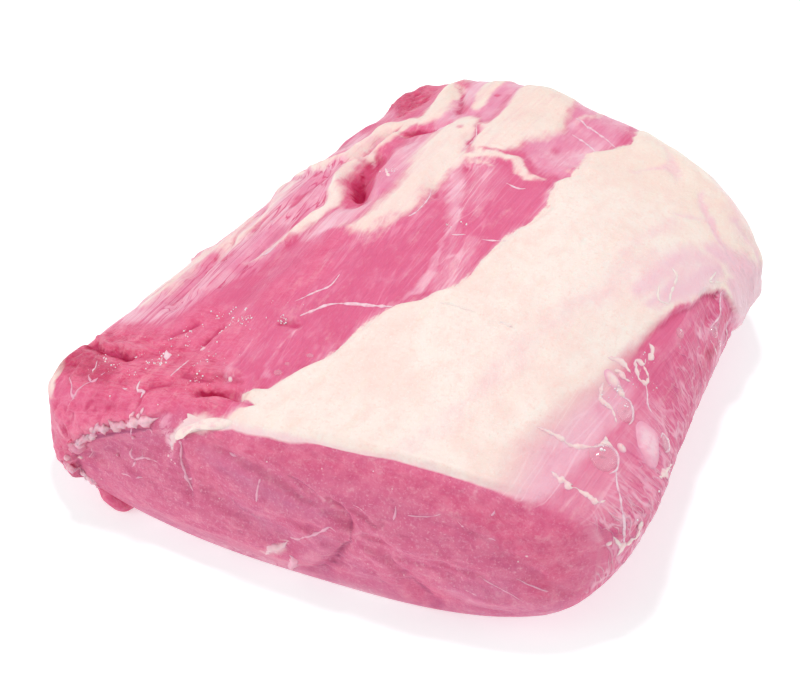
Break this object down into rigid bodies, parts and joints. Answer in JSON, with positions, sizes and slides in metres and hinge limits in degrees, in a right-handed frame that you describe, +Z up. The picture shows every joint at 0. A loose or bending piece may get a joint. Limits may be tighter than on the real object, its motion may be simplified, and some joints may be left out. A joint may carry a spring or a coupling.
{
  "type": "veal ribeye",
  "caption": "Raw boneless veal ribeye: a low, tapering block of rosy meat with a creamy fat strip over its crown and a clean cut face at the front.",
  "frame": {"origin": "on the flat underside, below the middle of the joint's width and length", "axes": "+Z up, +Y along the joint from its clean front cut to its far cut, +X to the flank side under the fat strip"},
  "size_m": [0.1848, 0.2164, 0.069],
  "materials": {
    "veal_flesh": "moist raw lean veal, rosy pink, under a thin clear skin",
    "veal_fat": "firm cream fat with a satin shine",
    "fascia": "thin translucent white membrane and threads of it",
    "meat_juice": "clear wet beads and bubbles"
  },
  "bodies": {
    "root": {"veal_ribeye": "veal_flesh"}
  },
  "joints": []
}
